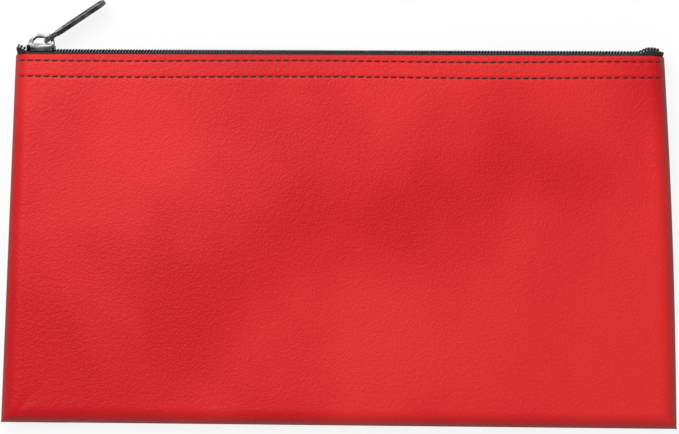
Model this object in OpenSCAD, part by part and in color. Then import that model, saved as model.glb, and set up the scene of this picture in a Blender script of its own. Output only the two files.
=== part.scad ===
/* [Pouch] */
// width across the closed bottom end
bottom_width = 279.4; // [220:0.1:360]
// width across the mouth
mouth_width = 268; // [210:0.1:350]
// length from the bottom seam to the folded mouth edge
height = 153; // [110:0.5:220]
// thickness over both panels
thickness = 14; // [12.5:0.1:24]
// thickness of the vinyl
wall = 0.8; // [0.5:0.05:1]
// width of the turned-in seam edges
seam_allowance = 7; // [5:0.5:10]
// depth of the folded hem at the mouth
hem_depth = 11.5; // [10:0.5:16]

/* [Stitching] */
// spacing of the topstitches
stitch_pitch = 3.4; // [2.8:0.1:5]
// spacing of the seam stitches
seam_pitch = 5; // [3.5:0.1:7]
// thickness of the thread
thread = 0.4; // [0.3:0.05:0.5]
// upper stitch row below the mouth edge
upper_row_drop = 2.7; // [2:0.1:4]
// distance between the two stitch rows
row_gap = 6.6; // [4:0.1:7.5]

/* [Zipper] */
// thickness of the woven tape
tape_thickness = 0.5; // [0.4:0.05:0.6]
// how far the tape runs down inside the hem
tape_drop = 10.2; // [9.8:0.1:12]
// spacing of the coil teeth
tooth_pitch = 1.25; // [1.1:0.05:1.6]
// height of the coil above its tape
coil_height = 1.4; // [1.1:0.05:1.6]
// how far each tooth reaches past the centre line
tooth_overlap = 0.3; // [0.2:0.05:0.35]

/* [Slider] */
// length of the slider along the chain
slider_length = 11.5; // [10.5:0.1:14]
// width of the slider across the chain
slider_width = 9; // [8.8:0.1:9.4]
// thickness of the bail across the chain
bail_width = 1.6; // [1.4:0.1:1.8]

/* [Pull] */
// length of the pull from its pivot to its tip
pull_length = 29.5; // [22:0.5:40]
// width of the pull at its tip
pull_width = 6.5; // [6:0.1:8]
// thickness of the pull
pull_thickness = 1.8; // [1.6:0.1:2]
// angle of the pull above the chain at rest
pull_angle = 34; // [20:1:60]
// sideways lean of the pull at rest
pull_lean = 15; // [0:1:15]

/* [Output] */
// sub-part to show

/* [Hidden] */
$fn = 32;
red = [0.78, 0.04, 0.05];
black = [0.05, 0.05, 0.05];
maroon = [0.16, 0.02, 0.03];
metal = [0.3, 0.3, 0.31];
mid = thickness / 2;
mouth = height / 2;
edge_radius = mid;
edge_steps = 7;
slab = 0.02;
// flat stretch of the mouth, between the rounded sides
flat_half = mouth_width / 2 - edge_radius - 0.5;
hem_inside = mid - 2 * wall;
tape_top = mouth + 0.4 + tape_thickness;
coil_top = tape_top + coil_height;
coil_half = 2.7;
coil_spine = 0.6;
part_shift = 0.9;
chain_half = mouth_width / 2 - 0.7;
slider_left = -mouth_width / 2 + 4.6;
slider_right = slider_left + slider_length;
plate_top = coil_top + 1.5;
pivot_x = slider_right - 3.9;
pivot_y = plate_top + 1.8;
seam_inset = 4;
side_lean = atan2((bottom_width - mouth_width) / 2, height);

// outline of the pouch, drawn in on three sides
module outline(inset, over) {
    polygon([[-bottom_width / 2 + inset, -mouth + inset], [bottom_width / 2 - inset, -mouth + inset],
             [mouth_width / 2 - inset, mouth + over], [-mouth_width / 2 + inset, mouth + over]]);
}

// upper half of the filled pouch, its surface moved in by t
module half_form(t, over) {
    hull()
        for (i = [0:edge_steps])
            translate([0, 0, mid + (edge_radius - t) * sin(90 * i / edge_steps)
                             - (i == edge_steps || (i == 0 && t > 0) ? slab : 0)])
                linear_extrude(slab)
                    outline(t + (edge_radius - t) * (1 - cos(90 * i / edge_steps)), over);
}

module half_panel() {
    difference() {
        half_form(0, 0);
        difference() {
            half_form(wall, 1);
            translate([-bottom_width, mouth - hem_depth, 0]) cube([2 * bottom_width, hem_depth + 2, thickness + 1]);
        }
        half_form(2 * wall, 1);
    }
    // turned-in seam edge
    translate([0, 0, mid])
        linear_extrude(wall)
            difference() {
                intersection() {
                    outline(wall / 2, 0);
                    translate([-bottom_width, -mouth - 1]) square([2 * bottom_width, height - hem_depth]);
                }
                outline(seam_allowance, 2);
            }
}

module half_tape() {
    translate([-flat_half, mouth - tape_drop, mid + hem_inside - tape_thickness])
        cube([2 * flat_half, tape_top - mouth + tape_drop, tape_thickness]);
    translate([-chain_half, tape_top - tape_thickness, mid + 1.3])
        cube([2 * chain_half, tape_thickness, hem_inside - 1.3]);
}

// how far the coil is parted at x
function parted(x) = part_shift * min(1, max(0, (pivot_x - x) / 5.2));

// one side of the coil, teeth toward the centre line
module half_coil(phase) {
    n = floor((2 * chain_half - tooth_pitch) / tooth_pitch);
    x0 = -chain_half + phase * tooth_pitch / 2;
    w = tooth_pitch * 0.4;
    outer = [for (i = [0:n - 1]) [x0 + i * tooth_pitch, coil_half + parted(x0 + i * tooth_pitch)]];
    inner = [for (i = [0:n - 1]) let (x = x0 + i * tooth_pitch, s = parted(x))
        each [[x, coil_half - coil_spine + s], [x, -tooth_overlap + s], [x + w, -tooth_overlap + s], [x + w, coil_half - coil_spine + s]]];
    last = x0 + (n - 1) * tooth_pitch + w;
    ring = concat([outer[0], [slider_left + 2.4, coil_half + part_shift], [pivot_x, coil_half], [last, coil_half]],
                  [for (i = [len(inner) - 1:-1:0]) inner[i]]);
    translate([0, coil_top, mid])
        rotate([90, 0, 0])
            linear_extrude(coil_height)
                polygon(ring);
}

// running thread along x, long stitches at the top
module stitch_run(length, pitch, z_low, z_high) {
    n = floor(length / pitch);
    run = pitch - 0.9;
    start = -(n * pitch - 0.9) / 2;
    up = [for (i = [0:n - 1]) let (x = start + i * pitch)
        each [[x, z_low + thread], [x, z_high], [x + run, z_high], [x + run, z_low + thread]]];
    down = [for (i = [0:n - 1]) let (x = start + i * pitch)
        each [[x + thread, z_low], [x + thread, z_high - thread], [x + run - thread, z_high - thread], [x + run - thread, z_low]]];
    translate([0, thread / 2, 0])
        rotate([90, 0, 0])
            linear_extrude(thread)
                polygon(concat(up, [for (i = [len(down) - 1:-1:0]) down[i]]));
}

module topstitch(drop) {
    translate([0, mouth - drop, 0])
        stitch_run(2 * flat_half - 1, stitch_pitch, mid + hem_inside - tape_thickness - thread, thickness);
}

module seam_run(length) {
    stitch_run(length, seam_pitch, mid - wall - thread, mid + wall + thread);
}

module flip() {
    translate([0, 0, thickness]) mirror([0, 0, 1]) children();
}

module front_panel() { color(red) half_panel(); }
module back_panel() { color(red) flip() half_panel(); }
module front_tape() { color(black) half_tape(); }
module back_tape() { color(black) flip() half_tape(); }
module front_coil() { color(black) half_coil(0); }
module back_coil() { color(black) flip() half_coil(1); }
module front_upper_stitches() { color(maroon) topstitch(upper_row_drop); }
module front_lower_stitches() { color(maroon) topstitch(upper_row_drop + row_gap); }
module back_upper_stitches() { color(maroon) flip() topstitch(upper_row_drop); }
module back_lower_stitches() { color(maroon) flip() topstitch(upper_row_drop + row_gap); }

module left_seam_thread() {
    color(maroon)
        translate([-(bottom_width + mouth_width) / 4 + seam_inset, -hem_depth / 2 + 1.5, 0])
            rotate([0, 0, 90 - side_lean])
                seam_run(height - hem_depth - 11);
}
module right_seam_thread() {
    color(maroon)
        translate([(bottom_width + mouth_width) / 4 - seam_inset, -hem_depth / 2 + 1.5, 0])
            rotate([0, 0, 90 + side_lean])
                seam_run(height - hem_depth - 11);
}
module bottom_seam_thread() {
    color(maroon)
        translate([0, -mouth + seam_inset, 0])
            seam_run(bottom_width - 13);
}

// plan of a slider plate, wide at the nose
module plate(bottom, top) {
    translate([0, top, mid])
        rotate([90, 0, 0])
            linear_extrude(top - bottom)
                polygon([[slider_left, -slider_width / 2 + 1.6], [slider_left + 1.6, -slider_width / 2],
                         [slider_right - 0.8, -slider_width / 2], [slider_right, -slider_width / 2 + 0.8],
                         [slider_right, slider_width / 2 - 0.8], [slider_right - 0.8, slider_width / 2],
                         [slider_left + 1.6, slider_width / 2], [slider_left, slider_width / 2 - 1.6]]);
}

module slider_body() {
    color(metal) {
        plate(coil_top + 0.2, plate_top);
        plate(mouth - 1.2, mouth - 0.1);
        // edges that hold the coil
        for (s = [-1, 1])
            translate([slider_left + 1.6, tape_top + 0.25, mid + s * (slider_width / 2 - 0.35) - 0.35])
                cube([slider_length - 2.4, plate_top - tape_top - 0.3, 0.7]);
        // post that parts the coil
        translate([0, plate_top - 0.2, mid])
            rotate([90, 0, 0])
                linear_extrude(plate_top - mouth + 0.5)
                    polygon([[slider_left + 0.2, -0.42], [slider_left + 2.4, -0.42], [slider_left + 4, -0.08],
                             [slider_left + 4, 0.08], [slider_left + 2.4, 0.42], [slider_left + 0.2, 0.42]]);
        // bail
        translate([0, 0, mid - bail_width / 2])
            linear_extrude(bail_width)
                difference() {
                    polygon([[slider_left + 0.2, plate_top - 0.3], [slider_left + 0.9, plate_top + 2],
                             [slider_left + 2, plate_top + 3.6], [slider_left + 3.3, plate_top + 4.5],
                             [slider_left + 5, plate_top + 4.8], [slider_right - 3.4, plate_top + 4.8],
                             [slider_right - 1.7, plate_top + 4.4], [slider_right - 0.6, plate_top + 3.2],
                             [slider_right - 0.2, plate_top + 1.6], [slider_right - 0.2, plate_top - 0.3]]);
                    polygon([[slider_left + 2.4, plate_top + 0.7], [slider_left + 2.7, plate_top + 1.9],
                             [slider_left + 4.2, plate_top + 3], [slider_right - 3, plate_top + 3],
                             [slider_right - 1.7, plate_top + 2.3], [slider_right - 1.5, plate_top + 0.7]]);
                }
    }
}

module pull_tab() {
    eye_end = 5.4;
    color(metal)
        translate([pivot_x, pivot_y, mid])
            rotate([0, 0, pull_angle])
                rotate([pull_lean, 0, 0]) {
                    // bar through the bail
                    translate([0, 0, -pull_width / 2 + 0.5]) cylinder(r = 0.62, h = pull_width - 1);
                    // arms beside the bail
                    for (s = [-1, 1])
                        translate([-0.3, -0.6, s * (pull_width / 2 - 0.7) - 0.5]) cube([eye_end + 1, 1.2, 1]);
                    // paddle with a sunk face each side
                    difference() {
                        translate([0, pull_thickness / 2, 0])
                            rotate([90, 0, 0])
                                linear_extrude(pull_thickness) {
                                    translate([eye_end, -pull_width / 2 + 0.5]) square([pull_length - eye_end - pull_width / 2, pull_width - 1]);
                                    translate([eye_end + 2, -pull_width / 2]) square([pull_length - eye_end - 2 - pull_width / 2, pull_width]);
                                    translate([pull_length - pull_width / 2, 0]) circle(r = pull_width / 2);
                                }
                        for (s = [-1, 1])
                            translate([0, s * (pull_thickness / 2) + 0.4, 0])
                                rotate([90, 0, 0])
                                    linear_extrude(0.8) {
                                        translate([eye_end + 3.4, -pull_width / 2 + 1]) square([pull_length - eye_end - 3.4 - pull_width / 2, pull_width - 2]);
                                        translate([pull_length - pull_width / 2, 0]) circle(r = pull_width / 2 - 1);
                                    }
                    }
                }
}

front_panel();
back_panel();
front_tape();
back_tape();
front_coil();
back_coil();
front_upper_stitches();
front_lower_stitches();
back_upper_stitches();
back_lower_stitches();
left_seam_thread();
right_seam_thread();
bottom_seam_thread();
slider_body();
pull_tab();
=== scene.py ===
import math
import bpy
import numpy as np
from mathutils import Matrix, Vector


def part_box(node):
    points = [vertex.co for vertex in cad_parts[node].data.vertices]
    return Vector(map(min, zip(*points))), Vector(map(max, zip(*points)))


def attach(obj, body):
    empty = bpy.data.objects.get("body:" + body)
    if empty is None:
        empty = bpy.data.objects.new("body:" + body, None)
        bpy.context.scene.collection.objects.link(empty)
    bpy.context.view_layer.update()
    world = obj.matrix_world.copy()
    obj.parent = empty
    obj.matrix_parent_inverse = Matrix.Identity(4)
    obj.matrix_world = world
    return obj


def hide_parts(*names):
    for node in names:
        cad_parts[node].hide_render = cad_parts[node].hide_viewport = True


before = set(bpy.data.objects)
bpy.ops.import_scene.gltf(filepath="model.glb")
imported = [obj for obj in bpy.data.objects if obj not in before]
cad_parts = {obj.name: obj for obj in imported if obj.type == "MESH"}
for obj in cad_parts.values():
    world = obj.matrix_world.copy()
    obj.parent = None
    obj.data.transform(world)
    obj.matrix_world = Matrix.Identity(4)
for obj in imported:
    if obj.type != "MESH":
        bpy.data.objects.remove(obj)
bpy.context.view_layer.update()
bpy.ops.object.select_all(action="DESELECT")

# Vinyl panels: a front and a back sheet of grained leatherette, joined at the seam plane round three sides.
# Each one rolls over at the sides and the bottom, and is folded in at the mouth for its hem.
panel_low, panel_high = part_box("front_panel")
seam_z = panel_low.z
mouth_y = panel_high.y
bottom_y = panel_low.y
half_bottom = panel_high.x
half_mouth = 0.134
roll = panel_high.z - seam_z
vinyl_thick = 0.0008
fold_radius = 0.0009
hem_depth = 0.0115
side_bulge = 0.001
bottom_slope = 0.001
corner_soft = 0.0006
sag_depth = 0.0009
sag_below_mouth = 0.012
sag_start = 0.006
sag_blend = 0.03
sag_blend_at_hem = 0.02
row_drops = (0.0027, 0.0093)
row_wander = 0.00025
stitch_pitch = 0.0034
pucker_depth = 0.0003
pucker_width = 0.0006
fold_blend = 0.004
panel_columns = 300
panel_rows = 136


def half_width(x, y):
    """Half the pouch's width at this height. Its right side bulges a little."""
    up = np.clip((y - bottom_y) / (mouth_y - bottom_y), 0, 1)
    straight = half_bottom + (half_mouth - half_bottom) * up
    return straight + np.where(x > 0, side_bulge * np.sin(math.pi * up), 0)


def edge_distance(x, y):
    """Distance in from the nearest seam, rounded off where two seams meet."""
    side = half_width(x, y) - np.abs(x)
    bottom = y - (bottom_y - bottom_slope * x / half_bottom)
    least = np.minimum(side, bottom)
    round_off = corner_soft * np.log(2) * np.exp(-np.abs(side - bottom) / corner_soft)
    return np.maximum(least - round_off, 0)


def row_y(x, drop):
    """Where a stitch row lies at x: the sewing wanders a little."""
    return mouth_y - drop + row_wander * np.sin(x * 43 + drop * 900)


def crease(x, y, point, slope, width, middle_y, reach):
    """A slanting fold through a point, strongest at middle_y."""
    across = (x - point[0] + (y - point[1]) * slope) / width
    along = (y - middle_y) / reach
    return np.exp(-across ** 2) * np.exp(-along ** 2)


def surface_height(x, y):
    """Height of the front panel's outer face above the seam plane."""
    inside = np.clip(edge_distance(x, y) / roll, 0, 1)
    height = roll * np.sqrt(np.maximum(1 - (1 - inside) ** 2, 0))
    from_seams = np.clip((edge_distance(x, y) - sag_start) / sag_blend, 0, 1)
    from_hem = np.clip((mouth_y - sag_below_mouth - y) / sag_blend_at_hem, 0, 1)
    swell = 0.5 * np.sin(x * 57 + 0.6) * np.cos(y * 39 + 0.3) + 0.5 * np.sin(x * 33 - y * 48)
    height = height - sag_depth * from_seams * from_hem * (0.5 + 0.5 * swell)
    height = height - 0.0005 * crease(x, y, (0.118, -0.058), 0.8, 0.0025, -0.062, 0.009)
    height = height - 0.0004 * crease(x, y, (-0.128, -0.066), -0.9, 0.0018, -0.068, 0.006)
    pucker = 0.65 + 0.35 * np.cos(2 * math.pi * x / stitch_pitch)
    for drop in row_drops:
        height = height - pucker_depth * pucker * np.exp(-((y - row_y(x, drop)) / pucker_width) ** 2)
    return np.maximum(height, 0)


def from_edge(arc):
    """Distance in from the edge after going this far over the rolled side."""
    quarter = roll * math.pi / 2
    over_the_roll = roll * (1 - np.cos(np.minimum(arc, quarter) / roll))
    return np.where(arc < quarter, over_the_roll, roll + arc - quarter)


def vertices(piece):
    """The places of a piece's vertices, one row of x, y, z each."""
    place = np.zeros(len(piece.data.vertices) * 3)
    piece.data.vertices.foreach_get("co", place)
    return place.reshape(-1, 3)


def place_vertices(piece, place):
    piece.data.vertices.foreach_set("co", place.reshape(-1))
    piece.data.update()


def apply_modifiers(piece):
    bpy.ops.object.select_all(action="DESELECT")
    bpy.context.view_layer.objects.active = piece
    piece.select_set(True)
    for modifier in list(piece.modifiers):
        bpy.ops.object.modifier_apply(modifier=modifier.name)


def turn_inside_out(piece):
    bpy.ops.object.select_all(action="DESELECT")
    bpy.context.view_layer.objects.active = piece
    piece.select_set(True)
    bpy.ops.object.mode_set(mode="EDIT")
    bpy.ops.mesh.select_all(action="SELECT")
    bpy.ops.mesh.flip_normals()
    bpy.ops.object.mode_set(mode="OBJECT")


def vinyl_panel(name, side):
    """A flat grid laid over the rolled edges, the face, the mouth's fold and the hem."""
    bpy.ops.mesh.primitive_grid_add(x_subdivisions=panel_columns, y_subdivisions=panel_rows, size=2)
    panel = bpy.context.object
    panel.name = name
    place = vertices(panel)
    u = place[:, 0]
    v = (place[:, 1] + 1) / 2
    rise = mouth_y - bottom_y - roll + roll * math.pi / 2
    fold = fold_radius * math.pi
    # the rows lie closest along the stitches and round the fold
    share = [0, 0.15, 0.42, 0.82, 0.9, 1]
    length = [0, 0.012, rise - 0.0125, rise, rise + fold, rise + fold + hem_depth]
    arc = np.interp(v, share, length)
    x = u * half_bottom
    lean = bottom_slope * x / half_bottom * (1 - np.clip(arc / rise, 0, 1))
    y = np.minimum(bottom_y + from_edge(np.minimum(arc, rise)), mouth_y) - lean
    width = half_width(x, y)
    reach = width - roll + roll * math.pi / 2
    x = np.sign(u) * (width - from_edge((1 - np.abs(u)) * reach))
    z = surface_height(x, y)
    on_seam = (np.abs(u) > 0.9999) | (v < 0.0001)
    z = np.where(on_seam, 0, z)
    turn = np.clip((arc - rise) / fold_radius, 0, math.pi)
    down = np.maximum(arc - rise - fold, 0)
    shrink = 1 - fold_radius * (1 - np.cos(turn)) / roll
    core = np.sign(x) * np.maximum(np.abs(x) - (width - roll), 0)
    x = x - core * (1 - shrink)
    z = z * shrink
    y = y + fold_radius * np.sin(turn) - down
    near_mouth = np.clip((y - mouth_y + fold_blend) / fold_blend, 0, 1) * (arc <= rise + fold)
    place_vertices(panel, np.stack([x, y - fold_radius * near_mouth, seam_z + side * z], axis=1))
    if side < 0:
        turn_inside_out(panel)
    wall = panel.modifiers.new("wall", "SOLIDIFY")
    wall.thickness = vinyl_thick
    wall.offset = -1
    apply_modifiers(panel)
    bpy.ops.object.shade_smooth()
    return panel


def new_material(name):
    material = bpy.data.materials.new(name)
    material.use_nodes = True
    return material, material.node_tree.nodes, material.node_tree.links


# Relief of small cells and wrinkles, which every finish of the pouch uses at its own size.
grain = bpy.data.node_groups.new("grain", "ShaderNodeTree")
for socket, kind in (("Cell size", "NodeSocketFloat"), ("Wrinkle size", "NodeSocketFloat")):
    grain.interface.new_socket(name=socket, in_out="INPUT", socket_type=kind)
grain.interface.new_socket(name="Height", in_out="OUTPUT", socket_type="NodeSocketFloat")
grain_in = grain.nodes.new("NodeGroupInput")
grain_out = grain.nodes.new("NodeGroupOutput")
grain_place = grain.nodes.new("ShaderNodeTexCoord")
grain_cells = grain.nodes.new("ShaderNodeTexVoronoi")
grain_wrinkles = grain.nodes.new("ShaderNodeTexNoise")
grain_wrinkles.inputs["Detail"].default_value = 4
grain_wrinkles.inputs["Distortion"].default_value = 0.6
grain_sum = grain.nodes.new("ShaderNodeMath")
grain_sum.operation = "ADD"
grain.links.new(grain_place.outputs["Object"], grain_cells.inputs["Vector"])
grain.links.new(grain_place.outputs["Object"], grain_wrinkles.inputs["Vector"])
grain.links.new(grain_in.outputs["Cell size"], grain_cells.inputs["Scale"])
grain.links.new(grain_in.outputs["Wrinkle size"], grain_wrinkles.inputs["Scale"])
grain.links.new(grain_cells.outputs["Distance"], grain_sum.inputs[0])
grain.links.new(grain_wrinkles.outputs["Fac"], grain_sum.inputs[1])
grain.links.new(grain_sum.outputs["Value"], grain_out.inputs["Height"])


def add_grain(nodes, links, cells, wrinkles, depth, strength):
    relief = nodes.new("ShaderNodeGroup")
    relief.node_tree = grain
    relief.inputs["Cell size"].default_value = cells
    relief.inputs["Wrinkle size"].default_value = wrinkles
    bump = nodes.new("ShaderNodeBump")
    bump.inputs["Distance"].default_value = depth
    bump.inputs["Strength"].default_value = strength
    links.new(relief.outputs["Height"], bump.inputs["Height"])
    links.new(bump.outputs["Normal"], nodes["Principled BSDF"].inputs["Normal"])


def blotches(nodes, links, scale, colours, rough):
    """Colour and roughness that drift over the surface, through a noise of this scale."""
    place = nodes.new("ShaderNodeTexCoord")
    noise = nodes.new("ShaderNodeTexNoise")
    noise.inputs["Scale"].default_value = scale
    noise.inputs["Detail"].default_value = 3
    ramp = nodes.new("ShaderNodeValToRGB")
    for stop, (where, colour) in zip(ramp.color_ramp.elements, colours):
        stop.position = where
        stop.color = colour
    spread = nodes.new("ShaderNodeMapRange")
    spread.inputs["To Min"].default_value = rough[0]
    spread.inputs["To Max"].default_value = rough[1]
    links.new(place.outputs["Object"], noise.inputs["Vector"])
    links.new(noise.outputs["Fac"], ramp.inputs["Fac"])
    links.new(noise.outputs["Fac"], spread.inputs["Value"])
    links.new(ramp.outputs["Color"], nodes["Principled BSDF"].inputs["Base Color"])
    links.new(spread.outputs["Result"], nodes["Principled BSDF"].inputs["Roughness"])


# Painted reflection: the paler red patches stand in for the soft veil of light across the glossy vinyl,
# while the deep red is the vinyl's own colour.
deep_red = (0.56, 0.0, 0.004, 1)
pale_red_painted_sheen = (0.7, 0.014, 0.014, 1)
vinyl, nodes, links = new_material("red_vinyl")
blotches(nodes, links, 11, ((0.38, deep_red), (0.62, pale_red_painted_sheen)), (0.42, 0.52))
add_grain(nodes, links, 1000, 700, 0.0003, 0.4)
# Painted shade: the rolled edges, whose faces turn away from the lamps, are darkened in their colour, the
# more so the further the surface tips from facing up.
facing = nodes.new("ShaderNodeTexCoord")
parts = nodes.new("ShaderNodeSeparateXYZ")
upright = nodes.new("ShaderNodeMath")
upright.operation = "ABSOLUTE"
painted_edge_shade = nodes.new("ShaderNodeValToRGB")
painted_edge_shade.color_ramp.elements[0].position = 0.3
painted_edge_shade.color_ramp.elements[0].color = (0.3, 0.1, 0.12, 1)
painted_edge_shade.color_ramp.elements[1].position = 0.98
painted_edge_shade.color_ramp.elements[1].color = (1, 1, 1, 1)
edge_shade_multiply = nodes.new("ShaderNodeMix")
edge_shade_multiply.data_type = "RGBA"
edge_shade_multiply.blend_type = "MULTIPLY"
edge_shade_multiply.inputs["Factor"].default_value = 1
links.new(facing.outputs["Normal"], parts.inputs["Vector"])
links.new(parts.outputs["Z"], upright.inputs[0])
links.new(upright.outputs["Value"], painted_edge_shade.inputs["Fac"])
links.new(nodes["Color Ramp"].outputs["Color"], edge_shade_multiply.inputs["A"])
links.new(painted_edge_shade.outputs["Color"], edge_shade_multiply.inputs["B"])
links.new(edge_shade_multiply.outputs["Result"], nodes["Principled BSDF"].inputs["Base Color"])
nodes["Principled BSDF"].inputs["Specular IOR Level"].default_value = 0.25

for name, node, side in (("front_vinyl", "front_panel", 1), ("back_vinyl", "back_panel", -1)):
    panel = vinyl_panel(name, side)
    panel.data.materials.append(vinyl)
    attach(panel, "pouch")
    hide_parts(node)

# Topstitches: two rows of dark maroon thread through each hem and the tape behind it.
# Every stitch is a short plump run of thread, pulled into the vinyl at both ends.
stitch_half = 0.00155
thread_radius = 0.00034
stitch_rise = 0.00012
stitch_dip = 0.00035
stitch_slant = 0.00012
row_margin = 0.0002
thread_dark = (0.008, 0.0005, 0.001, 1)
thread_light = (0.05, 0.002, 0.004, 1)
thread, nodes, links = new_material("maroon_thread")
blotches(nodes, links, 900, ((0.3, thread_dark), (0.7, thread_light)), (0.5, 0.75))
add_grain(nodes, links, 3500, 2500, 0.0001, 0.5)


def stitch_row(name, node, drop, side):
    """One plump stitch, repeated along the row and laid on the vinyl."""
    bpy.ops.mesh.primitive_uv_sphere_add(segments=8, ring_count=6, radius=1)
    row = bpy.context.object
    row.name = name
    ball = vertices(row)
    thin = ball * thread_radius
    place_vertices(row, np.stack([ball[:, 2] * stitch_half, thin[:, 0], thin[:, 1]], axis=1))
    count = int(2 * (half_mouth - row_margin) / stitch_pitch)
    run = row.modifiers.new("run", "ARRAY")
    run.count = count
    run.use_relative_offset = False
    run.use_constant_offset = True
    run.constant_offset_displace = (stitch_pitch, 0, 0)
    apply_modifiers(row)
    place = vertices(row)
    number = np.round(place[:, 0] / stitch_pitch)
    along = (place[:, 0] - number * stitch_pitch) / stitch_half
    x = place[:, 0] - (count - 1) * stitch_pitch / 2
    y = row_y(x, drop)
    height = surface_height(x, y) + stitch_rise - stitch_dip * np.abs(along) ** 3
    y = y + place[:, 1] + stitch_slant * along
    z = seam_z + side * (height + place[:, 2])
    place_vertices(row, np.stack([x, y, z], axis=1))
    if side < 0:
        turn_inside_out(row)
    bpy.ops.object.shade_smooth()
    row.data.materials.append(thread)
    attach(row, "pouch")
    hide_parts(node)


for face, side in (("front", 1), ("back", -1)):
    for level, drop in zip(("upper", "lower"), row_drops):
        stitch_row(f"{face}_{level}_thread", f"{face}_{level}_stitches", drop, side)
for node in ("left_seam_thread", "right_seam_thread", "bottom_seam_thread"):
    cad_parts[node].data.materials.clear()
    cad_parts[node].data.materials.append(thread)

# Zipper tape: black woven ribbon, sewn up the inside of each hem and turned in over the mouth.
# It lifts at the right end, where it was tucked into the side seam, and at the left behind the slider.
tape_low, tape_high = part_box("front_tape")
chain_half = tape_high.x
tape_thick = 0.0005
tape_gap = 0.0001
tape_corner = 0.0006
room_gap = 0.0003
least_room = 0.0008
tape_inner = tape_low.z - seam_z
tape_outer = tape_high.z - seam_z - fold_radius * 2 + 2 * vinyl_thick - tape_gap
slider_low, slider_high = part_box("slider_body")
lift_right = 0.0016
lift_left = 0.0019
climb_start = 0.1225
climb_length = 0.005
crest = 0.1295
drop_share = 0.6
drop_length = 0.004


def chain_lift(x):
    """How far the chain stands up at x, at its two ends."""
    climb = np.clip((x - climb_start) / climb_length, 0, 1)
    drop = drop_share * np.clip((x - crest) / drop_length, 0, 1)
    behind_slider = np.clip((slider_low.x + 0.0012 - x) / drop_length, 0, 1)
    return lift_right * climb * climb * (3 - 2 * climb) * (1 - drop) + lift_left * behind_slider


tape_dark = (0.004, 0.004, 0.005, 1)
tape_light = (0.02, 0.018, 0.022, 1)
tape_black, nodes, links = new_material("black_tape")
blotches(nodes, links, 500, ((0.3, tape_dark), (0.7, tape_light)), (0.7, 0.9))
add_grain(nodes, links, 1800, 900, 0.0002, 0.8)

for face, side in (("front", 1), ("back", -1)):
    bpy.ops.mesh.primitive_grid_add(x_subdivisions=260, y_subdivisions=24, size=2)
    tape = bpy.context.object
    tape.name = face + "_ribbon"
    place = vertices(tape)
    x = place[:, 0] * chain_half
    leg = tape_high.y - tape_low.y - tape_corner
    shelf = tape_outer - tape_inner - tape_corner
    bend = tape_corner * math.pi / 2
    arc = (place[:, 1] + 1) / 2 * (leg + bend + shelf)
    angle = np.clip((arc - leg) / tape_corner, 0, math.pi / 2)
    y = tape_low.y + np.minimum(arc, leg) + tape_corner * np.sin(angle)
    z = tape_outer - tape_corner * (1 - np.cos(angle)) - np.maximum(arc - leg - bend, 0)
    # the rounded sides of the mouth leave less room
    squeeze = np.clip((np.abs(x) - (half_mouth - roll)) / roll, 0, 1)
    room = (roll - 2 * fold_radius) * np.sqrt(1 - squeeze ** 2) - room_gap
    room = np.maximum(room, least_room)
    z = np.where(y < mouth_y, np.minimum(z, room), z)
    y = y + chain_lift(x) * np.clip((y - mouth_y + 0.002) / 0.0025, 0, 1)
    place_vertices(tape, np.stack([x, y, seam_z + side * z], axis=1))
    if side < 0:
        turn_inside_out(tape)
    weave = tape.modifiers.new("weave", "SOLIDIFY")
    weave.thickness = tape_thick
    weave.offset = -1
    apply_modifiers(tape)
    bpy.ops.object.shade_smooth()
    tape.data.materials.append(tape_black)
    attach(tape, "pouch")
    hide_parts(face + "_tape")

# Coils: black nylon filament wound in flat loops, one beside each tape, with the loop heads meshed.
# The turns part round the slider's post where the slider rests.
tooth_pitch = 0.00125
filament = 0.00031
coil_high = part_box("front_coil")[1]
coil_base = tape_high.y
coil_height = coil_high.y - coil_base
coil_reach = 0.003
ring_tube = 0.25
tooth_overlap = 0.0003
turn_lean = 0.00022
parting = 0.0009
parting_length = 0.0052
merge_x = slider_high.x - 0.0039
nylon_dark = (0.006, 0.006, 0.007, 1)
nylon_light = (0.035, 0.035, 0.036, 1)

nylon, nodes, links = new_material("black_nylon")
blotches(nodes, links, 700, ((0.3, nylon_dark), (0.75, nylon_light)), (0.22, 0.36))
add_grain(nodes, links, 2600, 1500, 0.0001, 0.2)

for face, side, phase in (("front", 1, 0), ("back", -1, 0.5)):
    bpy.ops.mesh.primitive_torus_add(major_segments=14, minor_segments=6, minor_radius=ring_tube)
    coil = bpy.context.object
    coil.name = face + "_teeth"
    ring = vertices(coil)
    around = np.arctan2(ring[:, 1], ring[:, 0])
    out = (np.hypot(ring[:, 0], ring[:, 1]) - 1) / ring_tube * filament
    wide = coil_reach / 2 - filament
    tall = coil_height / 2 - filament
    z = coil_reach / 2 - tooth_overlap + wide * np.cos(around) + out * np.cos(around)
    y = coil_height / 2 + tall * np.sin(around) + out * np.sin(around)
    x = ring[:, 2] / ring_tube * filament + turn_lean * np.sin(around)
    place_vertices(coil, np.stack([x, y, z], axis=1))
    turns = coil.modifiers.new("turns", "ARRAY")
    turns.count = int((2 * chain_half - tooth_pitch) / tooth_pitch)
    turns.use_relative_offset = False
    turns.use_constant_offset = True
    turns.constant_offset_displace = (tooth_pitch, 0, 0)
    apply_modifiers(coil)
    place = vertices(coil)
    x = place[:, 0] - chain_half + (0.5 + phase) * tooth_pitch
    apart = parting * np.clip((merge_x - x) / parting_length, 0, 1)
    y = coil_base + place[:, 1] + chain_lift(x)
    place_vertices(coil, np.stack([x, y, seam_z + side * (place[:, 2] + apart)], axis=1))
    bpy.ops.object.mode_set(mode="EDIT")
    bpy.ops.mesh.select_all(action="SELECT")
    bpy.ops.mesh.normals_make_consistent(inside=False)
    bpy.ops.object.mode_set(mode="OBJECT")
    bpy.ops.object.shade_smooth()
    coil.data.materials.append(nylon)
    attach(coil, "pouch")
    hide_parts(face + "_coil")

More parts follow.
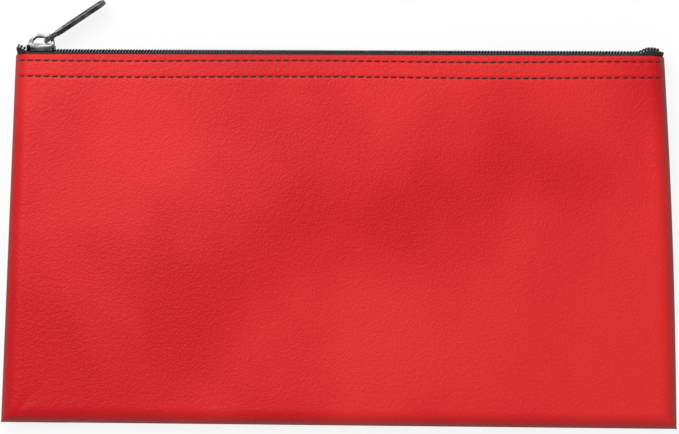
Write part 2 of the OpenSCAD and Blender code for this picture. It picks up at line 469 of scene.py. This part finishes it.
# Slider and pull: die-cast and plated in dark nickel, with every edge rounded off.
# The pull's bar runs through the bail, and the pull leans a little to one side.
edge_round = 0.00022
nickel_dark = (0.04, 0.04, 0.042, 1)
nickel_light = (0.16, 0.16, 0.165, 1)
nickel, nodes, links = new_material("dark_nickel")
blotches(nodes, links, 260, ((0.4, nickel_dark), (0.6, nickel_light)), (0.1, 0.22))
add_grain(nodes, links, 900, 500, 0.0001, 0.12)
nodes["Principled BSDF"].inputs["Metallic"].default_value = 1

for node, body, slot in (("slider_body", "slider", "slider"), ("pull_tab", "pull", "pull")):
    casting = bpy.data.objects.new(node + "_plated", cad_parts[node].data.copy())
    bpy.context.scene.collection.objects.link(casting)
    bpy.ops.object.select_all(action="DESELECT")
    bpy.context.view_layer.objects.active = casting
    casting.select_set(True)
    bpy.ops.object.mode_set(mode="EDIT")
    bpy.ops.mesh.select_all(action="SELECT")
    bpy.ops.mesh.remove_doubles(threshold=0.000005)
    bpy.ops.mesh.dissolve_limited(angle_limit=math.radians(2))
    bpy.ops.object.mode_set(mode="OBJECT")
    rounding = casting.modifiers.new("rounding", "BEVEL")
    rounding.width = edge_round
    rounding.segments = 2
    rounding.limit_method = "ANGLE"
    rounding.angle_limit = math.radians(35)
    apply_modifiers(casting)
    bpy.ops.object.shade_smooth_by_angle(angle=math.radians(40))
    casting.data.materials.clear()
    casting.data.materials.append(nickel)
    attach(casting, body)
    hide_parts(node)

# Table: a plain white sheet under the pouch, which keeps its shadow.
# It glows to the camera alone, so that it looks nearly as white as the world round it.
table_glow = 0.85
bpy.ops.mesh.primitive_plane_add(size=4, location=(0, 0, -0.0002))
table = bpy.context.object
table.name = "table"
white, nodes, links = new_material("white_table")
nodes["Principled BSDF"].inputs["Base Color"].default_value = (0.9, 0.9, 0.9, 1)
nodes["Principled BSDF"].inputs["Roughness"].default_value = 0.9
glow = nodes.new("ShaderNodeEmission")
glow.inputs["Color"].default_value = (1, 1, 1, 1)
seen = nodes.new("ShaderNodeLightPath")
share = nodes.new("ShaderNodeMath")
share.operation = "MULTIPLY"
share.inputs[1].default_value = table_glow
mix = nodes.new("ShaderNodeMixShader")
links.new(seen.outputs["Is Camera Ray"], share.inputs[0])
links.new(share.outputs["Value"], mix.inputs["Fac"])
links.new(nodes["Principled BSDF"].outputs["BSDF"], mix.inputs[1])
links.new(glow.outputs["Emission"], mix.inputs[2])
links.new(mix.outputs["Shader"], nodes["Material Output"].inputs["Surface"])
table.data.materials.append(white)

# Studio: a pale world, one wide soft lamp from the upper left and a small one for the metal.
# The world is white to the camera, and dimmer in the light that it gives.
world_light = 0.55
world = bpy.data.worlds.new("studio")
bpy.context.scene.world = world
world.use_nodes = True
nodes, links = world.node_tree.nodes, world.node_tree.links
seen = nodes.new("ShaderNodeLightPath")
either = nodes.new("ShaderNodeMath")
either.operation = "MAXIMUM"
level = nodes.new("ShaderNodeMapRange")
level.inputs["To Min"].default_value = world_light
level.inputs["To Max"].default_value = 1
links.new(seen.outputs["Is Camera Ray"], either.inputs[0])
links.new(seen.outputs["Is Transmission Ray"], either.inputs[1])
links.new(either.outputs["Value"], level.inputs["Value"])
links.new(level.outputs["Result"], nodes["Background"].inputs["Strength"])
nodes["Background"].inputs["Color"].default_value = (1, 1, 1, 1)

lamps = (("key", (-0.35, 0.45, 0.9), 0.6, 7.2), ("spark", (0.3, 0.7, 0.35), 0.12, 0.7))
for name, spot, size, power in lamps:
    lamp = bpy.data.objects.new(name, bpy.data.lights.new(name, "AREA"))
    lamp.data.size = size
    lamp.data.energy = power
    lamp.location = spot
    lamp.rotation_euler = (-lamp.location).to_track_quat("-Z", "Y").to_euler()
    bpy.context.scene.collection.objects.link(lamp)

# Camera: straight above, with the mouth of the pouch at the top of the view.
# It is turned by a fifth of a degree, as the pouch lies a little askew.
view_width = 0.2792
view_middle_y = 0.0097
camera_height = 1.2
camera_turn = 0.2
camera = bpy.data.objects.new("camera", bpy.data.cameras.new("camera"))
camera.data.lens = camera.data.sensor_width * camera_height / view_width
camera.location = (0, view_middle_y, camera_height + panel_high.z)
camera.rotation_euler = (0, 0, math.radians(camera_turn))
bpy.context.scene.collection.objects.link(camera)
bpy.context.scene.camera = camera
bpy.context.scene.view_settings.view_transform = "Standard"
